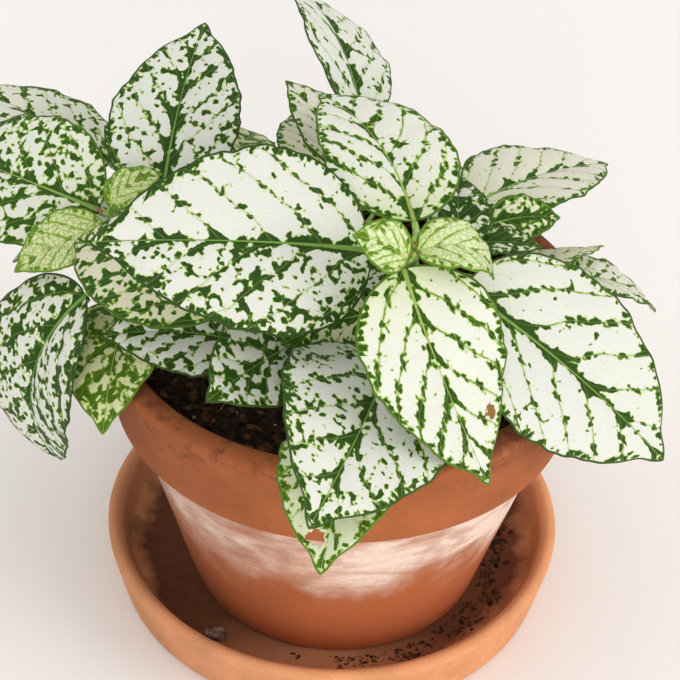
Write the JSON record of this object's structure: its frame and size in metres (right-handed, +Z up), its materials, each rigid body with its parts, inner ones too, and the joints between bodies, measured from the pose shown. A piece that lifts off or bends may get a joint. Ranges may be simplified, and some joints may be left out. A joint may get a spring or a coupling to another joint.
{
  "type": "potted polka dot plant",
  "caption": "Small potted house plant: leafy stems with broad pale, green-speckled leaves stand in soil in a round tapered clay pot with a thick rim band, on a shallow clay saucer.",
  "frame": {"origin": "centre of the saucer's underside, on the surface that the plant stands on", "axes": "+Z up; -Y towards the pictured front; +X to the right seen from that front. The pot stands a few millimetres off the saucer's centre, as in the picture."},
  "size_m": [0.1733, 0.1566, 0.134],
  "materials": {
    "pot_clay": "unglazed red terracotta, matte, with pale mineral bloom under the rim band",
    "saucer_clay": "unglazed terracotta, matte, lighter and more orange than the pot",
    "soil": "dark moist potting mix with bark bits and fine pale grains",
    "stalk": "living stem, pale green, finely hairy, satin",
    "leaf": "living leaf, white with green speckles along the veins, satin",
    "young_leaf": "young leaf, yellow-green with a fine green net of veins, satin"
  },
  "bodies": {
    "root": {"saucer": "saucer_clay", "pot": "pot_clay", "soil": "soil", "stem_centre": "stalk", "stem_front": "stalk", "stem_left": "stalk", "stem_right": "stalk", "stem_side": "stalk", "stem_back": "stalk", "stem_rear": "stalk", "leaf_centre_1": "young_leaf", "leaf_centre_2": "young_leaf", "leaf_centre_3": "leaf", "leaf_centre_4": "leaf", "leaf_centre_5": "leaf", "leaf_centre_6": "leaf", "leaf_centre_7": "leaf", "leaf_centre_8": "leaf", "leaf_centre_9": "leaf", "leaf_centre_10": "leaf", "leaf_centre_11": "leaf", "leaf_centre_12": "leaf", "leaf_front_1": "leaf", "leaf_front_2": "leaf", "leaf_front_3": "leaf", "leaf_front_4": "leaf", "leaf_left_1": "leaf", "leaf_left_2": "leaf", "leaf_left_3": "young_leaf", "leaf_left_4": "young_leaf", "leaf_left_5": "leaf", "leaf_left_6": "leaf", "leaf_right_1": "leaf", "leaf_right_2": "leaf", "leaf_right_3": "leaf", "leaf_right_4": "leaf", "leaf_right_5": "leaf", "leaf_right_6": "leaf", "leaf_side_1": "leaf", "leaf_back_1": "leaf", "leaf_back_2": "leaf", "leaf_back_3": "leaf", "leaf_back_4": "leaf", "leaf_back_5": "leaf", "leaf_rear_1": "leaf", "leaf_rear_2": "leaf", "leaf_rear_3": "leaf", "leaf_rear_4": "leaf"}
  },
  "joints": []
}
